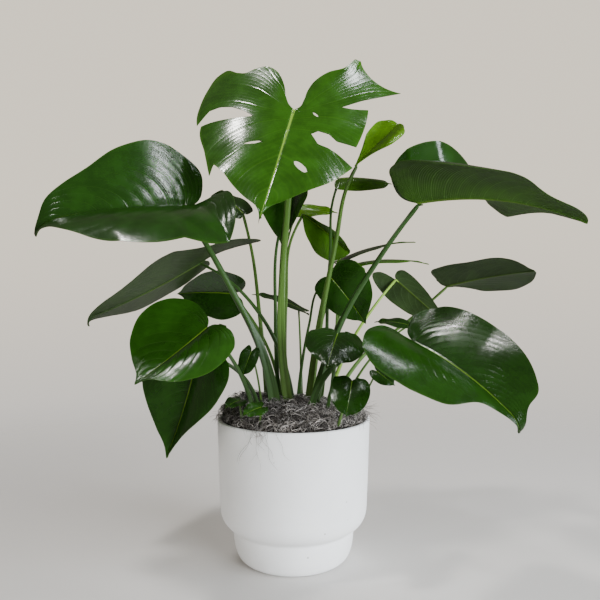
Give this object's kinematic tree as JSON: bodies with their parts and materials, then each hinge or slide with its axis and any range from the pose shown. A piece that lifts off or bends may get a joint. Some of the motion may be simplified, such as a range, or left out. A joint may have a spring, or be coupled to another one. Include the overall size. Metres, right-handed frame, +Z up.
{
  "type": "potted plant",
  "caption": "Young split-leaf climbing house plant with glossy heart-shaped leaves on long stalks, in a white ceramic cover pot topped with dried moss.",
  "frame": {"origin": "centre of the pot's flat base, on the surface it stands on", "axes": "+Z up along the pot's axis; -Y towards the front, the side the plant faces; +X to the right seen from the front"},
  "size_m": [0.728, 0.4122, 0.7399],
  "materials": {
    "ceramic": "matt white, lightly pitted",
    "soil": null,
    "dried_moss": null,
    "leaf_green": null,
    "leaf_dark_green": null,
    "leaf_underside": null,
    "leaf_young": null,
    "petiole_green": null
  },
  "bodies": {
    "root": {"back_left_leaf_blade": "leaf_dark_green", "back_left_leaf_petiole": "petiole_green", "bright_folded_leaf_blade": "leaf_green", "bright_folded_leaf_petiole": "petiole_green", "centre_heart_leaf_blade": "leaf_dark_green", "centre_heart_leaf_petiole": "petiole_green", "dark_edge_leaf_blade": "leaf_dark_green", "dark_edge_leaf_petiole": "petiole_green", "front_heart_leaf_blade": "leaf_dark_green", "front_heart_leaf_petiole": "petiole_green", "front_round_leaf_blade": "leaf_dark_green", "front_round_leaf_petiole": "petiole_green", "left_large_leaf_blade": "leaf_dark_green", "left_large_leaf_petiole": "petiole_green", "left_long_leaf_blade": "leaf_underside", "left_long_leaf_petiole": "petiole_green", "left_rolled_leaf_blade": "leaf_dark_green", "left_rolled_leaf_petiole": "petiole_green", "low_brown_leaf_blade": "leaf_dark_green", "low_brown_leaf_petiole": "petiole_green", "low_green_leaf_blade": "leaf_green", "low_green_leaf_petiole": "petiole_green", "lower_left_hanging_leaf_blade": "leaf_green", "lower_left_hanging_leaf_petiole": "petiole_green", "lower_left_round_leaf_blade": "leaf_green", "lower_left_round_leaf_petiole": "petiole_green", "lower_right_large_leaf_blade": "leaf_dark_green", "lower_right_large_leaf_petiole": "petiole_green", "moss": "dried_moss", "pale_right_leaf_blade": "leaf_green", "pale_right_leaf_petiole": "petiole_green", "pot": "ceramic", "right_large_leaf_blade": "leaf_dark_green", "right_large_leaf_petiole": "petiole_green", "right_oval_leaf_blade": "leaf_underside", "right_oval_leaf_petiole": "petiole_green", "right_rolled_leaf_blade": "leaf_green", "right_rolled_leaf_petiole": "petiole_green", "right_underside_leaf_blade": "leaf_underside", "right_underside_leaf_petiole": "petiole_green", "shaded_top_leaf_blade": "leaf_dark_green", "shaded_top_leaf_petiole": "petiole_green", "short_green_leaf_blade": "leaf_green", "short_green_leaf_petiole": "petiole_green", "small_left_leaf_blade": "leaf_dark_green", "small_left_leaf_petiole": "petiole_green", "small_right_leaf_blade": "leaf_dark_green", "small_right_leaf_petiole": "petiole_green", "soil": "soil", "split_leaf_blade": "leaf_green", "split_leaf_petiole": "petiole_green", "thin_back_leaf_blade": "leaf_dark_green", "thin_back_leaf_petiole": "petiole_green", "thin_right_leaf_blade": "leaf_dark_green", "thin_right_leaf_petiole": "petiole_green", "yellow_leaf_blade": "leaf_young", "yellow_leaf_petiole": "petiole_green", "young_leaf_blade": "leaf_young", "young_leaf_petiole": "petiole_green"}
  },
  "joints": []
}
